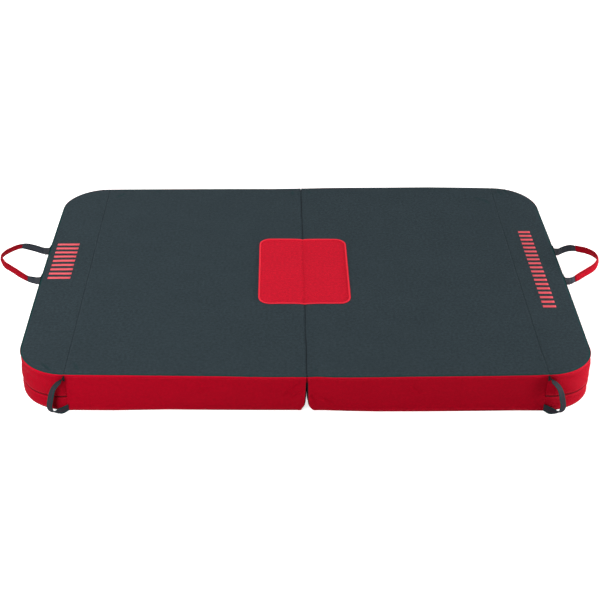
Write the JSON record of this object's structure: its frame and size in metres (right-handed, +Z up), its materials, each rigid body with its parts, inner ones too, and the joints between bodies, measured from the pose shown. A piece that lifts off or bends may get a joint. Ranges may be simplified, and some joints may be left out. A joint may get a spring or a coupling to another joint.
{
  "type": "bouldering crash pad",
  "caption": "Large hinge-fold bouldering crash pad lying open: foam halves in fabric covers, with end handles, seam loops and a carrying harness.",
  "frame": {"origin": "centre of the underside of the open pad, on the floor", "axes": "+X along the open pad towards the half that carries the harness, +Y along the fold, away from the picture's view, +Z up"},
  "size_m": [1.9456, 1.1394, 0.1564],
  "materials": {
    "top_fabric": "dark slate woven nylon",
    "wall_fabric": "deep red woven nylon",
    "lining_fabric": "dark woven nylon",
    "patch_fabric": "bright red sewn cloth",
    "grip_fabric": "red woven sleeve",
    "strap_fabric": "padded dark cloth",
    "webbing": "dark ribbed webbing",
    "closed_cell_foam": "fine closed cells",
    "open_cell_foam": "coarse open cells",
    "zip": "black coil and slider",
    "black_plastic": "moulded",
    "aluminium": "satin plate"
  },
  "bodies": {
    "left_half": {"top_foam_left": "closed_cell_foam", "core_foam_left": "open_cell_foam", "bottom_foam_left": "closed_cell_foam", "top_panel_left": "top_fabric", "top_end_panel_left": "top_fabric", "bottom_panel_left": "lining_fabric", "front_wall_left": "wall_fabric", "back_wall_left": "wall_fabric", "end_wall_lower_left": "wall_fabric", "end_wall_upper_left": "wall_fabric", "fold_wall_left": "lining_fabric", "zip_chain_left": "zip", "patch_left": "patch_fabric", "handle_anchor_front_left": "webbing", "handle_anchor_back_left": "webbing", "closure_catch_front": "webbing", "closure_catch_back": "webbing"},
    "right_half": {"top_foam_right": "closed_cell_foam", "core_foam_right": "open_cell_foam", "bottom_foam_right": "closed_cell_foam", "top_panel_right": "top_fabric", "top_end_panel_right": "top_fabric", "bottom_panel_right": "lining_fabric", "front_wall_right": "wall_fabric", "back_wall_right": "wall_fabric", "end_wall_lower_right": "wall_fabric", "end_wall_upper_right": "wall_fabric", "fold_wall_right": "lining_fabric", "zip_chain_right": "zip", "patch_right": "patch_fabric", "handle_anchor_front_right": "webbing", "handle_anchor_back_right": "webbing", "shoulder_strap_inner": "strap_fabric", "shoulder_strap_outer": "strap_fabric", "ladder_lock_inner": "black_plastic", "ladder_lock_outer": "black_plastic", "lower_strap_inner": "webbing", "lower_strap_outer": "webbing", "buckle_socket": "black_plastic", "waist_belt_inner": "webbing", "closure_strap_front": "webbing", "closure_strap_back": "webbing"},
    "handle_left": {"handle_webbing_left": "webbing", "handle_grip_left": "grip_fabric"},
    "loop_front_left": {"seam_loop_front_left": "webbing"},
    "loop_back_left": {"seam_loop_back_left": "webbing"},
    "zip_left": {"zip_slider_left": "zip", "zip_pull_left": "zip"},
    "handle_right": {"handle_webbing_right": "webbing", "handle_grip_right": "grip_fabric"},
    "loop_front_right": {"seam_loop_front_right": "webbing"},
    "loop_back_right": {"seam_loop_back_right": "webbing"},
    "zip_right": {"zip_slider_right": "zip", "zip_pull_right": "zip"},
    "buckle_release": {"buckle_plug": "black_plastic", "waist_belt_outer": "webbing"},
    "hook_front": {"closure_hook_front": "aluminium"},
    "hook_back": {"closure_hook_back": "aluminium"}
  },
  "joints": [
    {"name": "fold", "type": "hinge", "parent": "left_half", "child": "right_half", "pos_m": [0, 0, 0.1286], "axis": [0, -1, 0], "range_deg": [0, 176]},
    {"name": "handle_left_swing", "type": "hinge", "parent": "left_half", "child": "handle_left", "pos_m": [-0.84336, 0.053, 0.11], "axis": [0, -1, 0], "range_deg": [-43, 101]},
    {"name": "handle_right_swing", "type": "hinge", "parent": "right_half", "child": "handle_right", "pos_m": [0.84336, 0.053, 0.11], "axis": [0, 1, 0], "range_deg": [-43, 101]},
    {"name": "loop_front_left_swing", "type": "hinge", "parent": "left_half", "child": "loop_front_left", "pos_m": [-0.6795, -0.55588, 0], "axis": [0, 0, 1], "range_deg": [-8, 150]},
    {"name": "loop_back_left_swing", "type": "hinge", "parent": "left_half", "child": "loop_back_left", "pos_m": [-0.6795, 0.55588, 0], "axis": [0, 0, -1], "range_deg": [-8, 150]},
    {"name": "loop_front_right_swing", "type": "hinge", "parent": "right_half", "child": "loop_front_right", "pos_m": [0.6795, -0.55588, 0], "axis": [0, 0, -1], "range_deg": [-8, 150]},
    {"name": "loop_back_right_swing", "type": "hinge", "parent": "right_half", "child": "loop_back_right", "pos_m": [0.6795, 0.55588, 0], "axis": [0, 0, 1], "range_deg": [-8, 150]},
    {"name": "zip_left_slide", "type": "slide", "parent": "left_half", "child": "zip_left", "axis": [0, 1, 0], "range_m": [0, 0.72]},
    {"name": "zip_right_slide", "type": "slide", "parent": "right_half", "child": "zip_right", "axis": [0, 1, 0], "range_m": [0, 0.72]},
    {"name": "buckle_slide", "type": "slide", "parent": "right_half", "child": "buckle_release", "axis": [1, 0, 0], "range_m": [0, 0.028]},
    {"name": "hook_front_swing", "type": "hinge", "parent": "right_half", "child": "hook_front", "pos_m": [0.69, -0.19, 0.0066], "axis": [-1, 0, 0], "range_deg": [0, 100]},
    {"name": "hook_back_swing", "type": "hinge", "parent": "right_half", "child": "hook_back", "pos_m": [0.69, 0.19, 0.0066], "axis": [1, 0, 0], "range_deg": [0, 100]}
  ]
}
